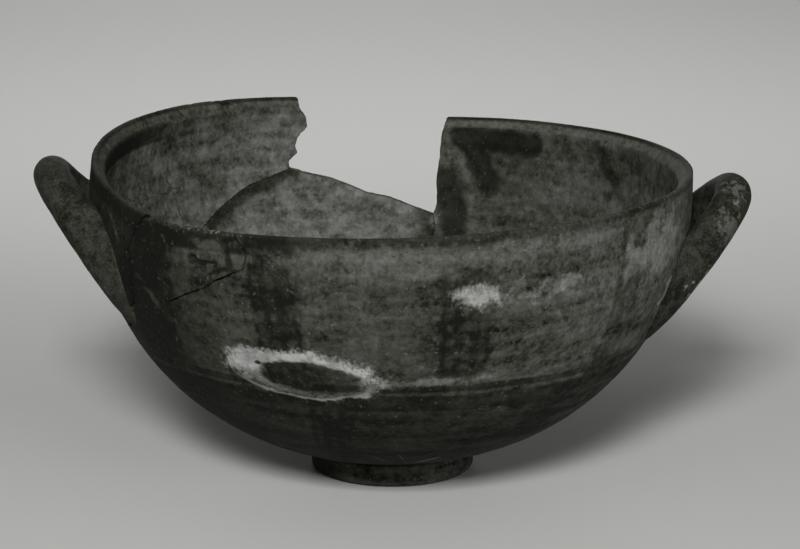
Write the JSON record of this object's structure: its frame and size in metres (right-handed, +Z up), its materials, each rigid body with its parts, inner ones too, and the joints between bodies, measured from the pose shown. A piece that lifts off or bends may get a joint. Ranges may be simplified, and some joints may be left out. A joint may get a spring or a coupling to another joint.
{
  "type": "handled bowl",
  "caption": "Deep hand-built clay bowl with upright loop handles at its sides and a low disc foot, broken and mended, with a piece of its rear rim missing.",
  "frame": {"origin": "centre of the foot's flat underside, where the bowl meets the table", "axes": "+Z up, +X towards the right handle, the handles lie along X, and -Y is the side that the picture shows"},
  "size_m": [0.2855, 0.2386, 0.1345],
  "materials": {
    "bowl_body": "matt, smoothed by hand, worn",
    "foot_disc": "matt, smoothed by hand, worn",
    "left_sherd": "matt, smoothed by hand, worn",
    "rear_sherd": "matt, smoothed by hand, worn",
    "front_left_sherd": "matt, smoothed by hand, worn",
    "left_handle": "matt, smoothed by hand, worn",
    "right_handle": "matt, smoothed by hand, worn",
    "left_front_fillet": "matt, smoothed by hand, worn",
    "left_rear_fillet": "matt, smoothed by hand, worn",
    "right_front_fillet": "matt, smoothed by hand, worn",
    "right_rear_fillet": "matt, smoothed by hand, worn"
  },
  "bodies": {
    "root": {"bowl_body": "bowl_body", "foot_disc": "foot_disc", "left_sherd": "left_sherd", "rear_sherd": "rear_sherd", "front_left_sherd": "front_left_sherd", "left_handle": "left_handle", "right_handle": "right_handle", "left_front_fillet": "left_front_fillet", "left_rear_fillet": "left_rear_fillet", "right_front_fillet": "right_front_fillet", "right_rear_fillet": "right_rear_fillet"}
  },
  "joints": []
}
